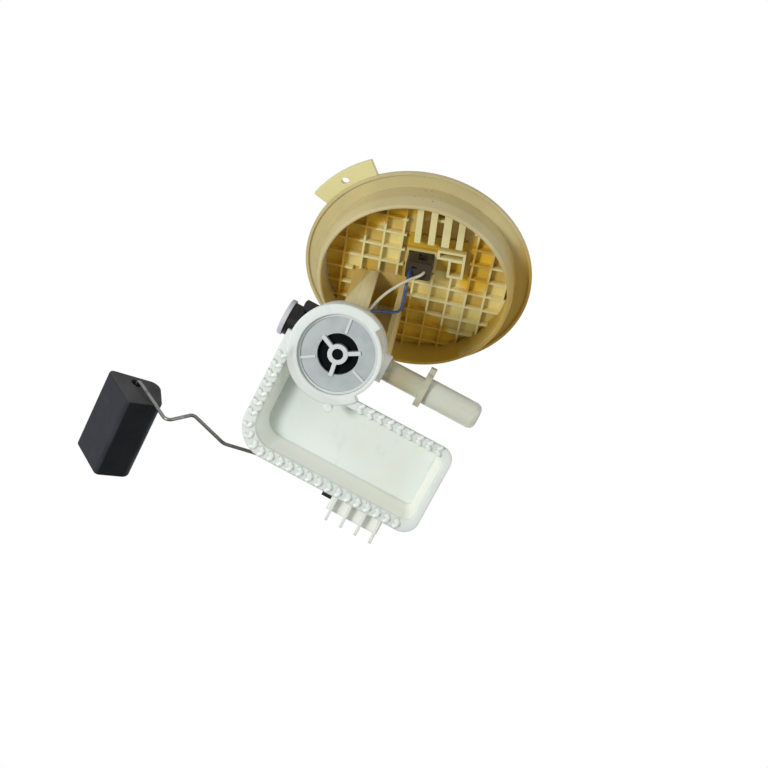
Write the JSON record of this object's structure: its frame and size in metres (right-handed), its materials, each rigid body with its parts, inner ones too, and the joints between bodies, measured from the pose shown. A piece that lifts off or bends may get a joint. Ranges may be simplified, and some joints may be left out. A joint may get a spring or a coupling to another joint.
{
  "type": "fuel tank sending unit",
  "caption": "Fuel tank sending unit: open flange cover, leg, inclined canister with tray, inlet valve, transfer tube, and level sensor with arm and float.",
  "frame": {"origin": "centre of the flange's seat face, on the axis of the round spigot that enters the tank", "axes": "+Z out of the tank along the spigot's axis, +X along the cover's ribs towards the tube's side, +Y towards the tray"},
  "size_m": [0.2341, 0.1556, 0.1623],
  "materials": {
    "cover_plastic": "moulded nylon, stained by fuel",
    "pin_metal": "tinned brass",
    "plug_plastic": "satin",
    "lock_plastic": "satin",
    "lead_blue": "insulation",
    "lead_grey": "insulation",
    "housing_plastic": "translucent acetal",
    "screw_steel": "zinc plated",
    "seal_rubber": "matte",
    "cap_plastic": "satin",
    "valve_rubber": "matte",
    "strainer_plastic": "moulded",
    "strainer_mesh": "woven mesh",
    "tube_plastic": "translucent nylon",
    "clip_plastic": "translucent nylon",
    "holder_plastic": "moulded",
    "regulator_metal": "drawn steel",
    "plate_plastic": "moulded",
    "sensor_plastic": "moulded acetal",
    "card_ceramic": "fired ceramic",
    "track_metal": "printed conductor",
    "rotor_plastic": "moulded acetal",
    "spring_metal": "spring alloy",
    "arm_steel": "drawn wire",
    "float_foam": "closed-cell foam"
  },
  "bodies": {
    "carrier": {"flange_cover": "cover_plastic", "guide_block": "cover_plastic", "connector_pins": "pin_metal", "harness_plug": "plug_plastic", "plug_lock": "lock_plastic", "plug_contacts": "pin_metal", "lead_blue": "lead_blue", "lead_grey": "lead_grey", "support_leg": "cover_plastic", "housing": "housing_plastic", "foot_screws": "screw_steel", "foot_seal": "seal_rubber", "end_cap": "cap_plastic", "cap_seal": "seal_rubber", "strainer_lower_plate": "strainer_plastic", "strainer_sleeve": "strainer_mesh", "strainer_upper_plate": "strainer_plastic", "transfer_tube": "tube_plastic", "tube_clip": "clip_plastic", "regulator_holder": "holder_plastic", "regulator": "regulator_metal", "regulator_plate": "plate_plastic", "sensor_base": "sensor_plastic", "resistor_card": "card_ceramic", "card_tracks": "track_metal", "sensor_terminals": "pin_metal"},
    "arm": {"rotor": "rotor_plastic", "wiper": "spring_metal", "arm_wire": "arm_steel", "float_clip": "spring_metal"},
    "float": {"float": "float_foam"},
    "valve": {"inlet_valve": "valve_rubber"}
  },
  "joints": [
    {"name": "arm_hinge", "type": "hinge", "parent": "carrier", "child": "arm", "pos_m": [0.00006, 0.07328, -0.11337], "axis": [-0.309, 0.8236, -0.4755], "range_deg": [0, 55]},
    {"name": "float_swivel", "type": "hinge", "parent": "arm", "child": "float", "pos_m": [-0.13695, 0.03655, -0.09678], "axis": [-0.3265, 0.9025, -0.281], "range_deg": [-20, 20]},
    {"name": "valve_lift", "type": "slide", "parent": "carrier", "child": "valve", "axis": [0, 0.5, 0.866], "range_m": [0, 0.0015]}
  ]
}
